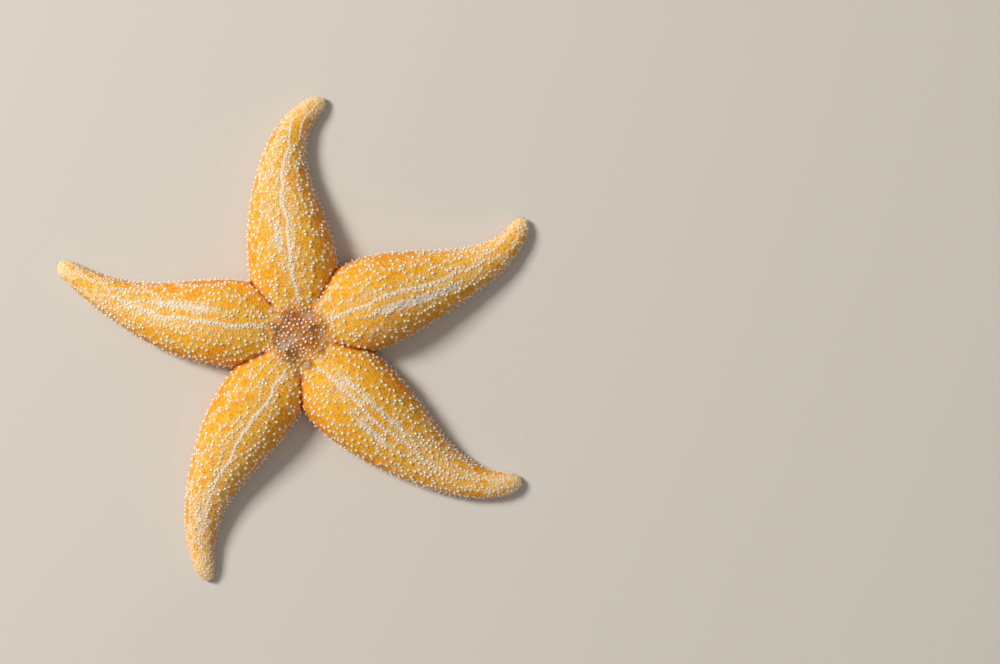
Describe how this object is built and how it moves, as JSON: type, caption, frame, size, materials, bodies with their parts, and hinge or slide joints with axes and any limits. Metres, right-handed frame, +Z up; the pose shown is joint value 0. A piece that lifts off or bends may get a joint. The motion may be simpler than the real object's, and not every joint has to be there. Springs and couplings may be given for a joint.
{
  "type": "starfish",
  "caption": "Life-size common starfish at rest: a small domed disc and plump, curved, tapering arms with a groove underneath, on flat feet.",
  "frame": {"origin": "on the floor, below the middle of the outline box", "axes": "+Z up, out of the animal's upper side; +Y towards arm A; the arms are lettered clockwise from above"},
  "size_m": [0.1993, 0.204, 0.0202],
  "materials": {
    "arm_skin": "wet, orange-yellow, with short pale spines",
    "tip_skin": "wet, pale cream-orange, finely spined",
    "disc_skin": "wet, brown-orange, closely spined",
    "sieve_plate": "dull, pale tan, finely grooved",
    "mouth_membrane": "wet, pale, finely wrinkled"
  },
  "bodies": {
    "root": {"disc": "disc_skin", "madreporite": "sieve_plate", "mouth": "mouth_membrane", "arm_a_base": "arm_skin", "arm_a_middle": "arm_skin", "arm_a_tip": "tip_skin", "arm_b_base": "arm_skin", "arm_b_middle": "arm_skin", "arm_b_tip": "tip_skin", "arm_c_base": "arm_skin", "arm_c_middle": "arm_skin", "arm_c_tip": "tip_skin", "arm_d_base": "arm_skin", "arm_d_middle": "arm_skin", "arm_d_tip": "tip_skin", "arm_e_base": "arm_skin", "arm_e_middle": "arm_skin", "arm_e_tip": "tip_skin"}
  },
  "joints": []
}
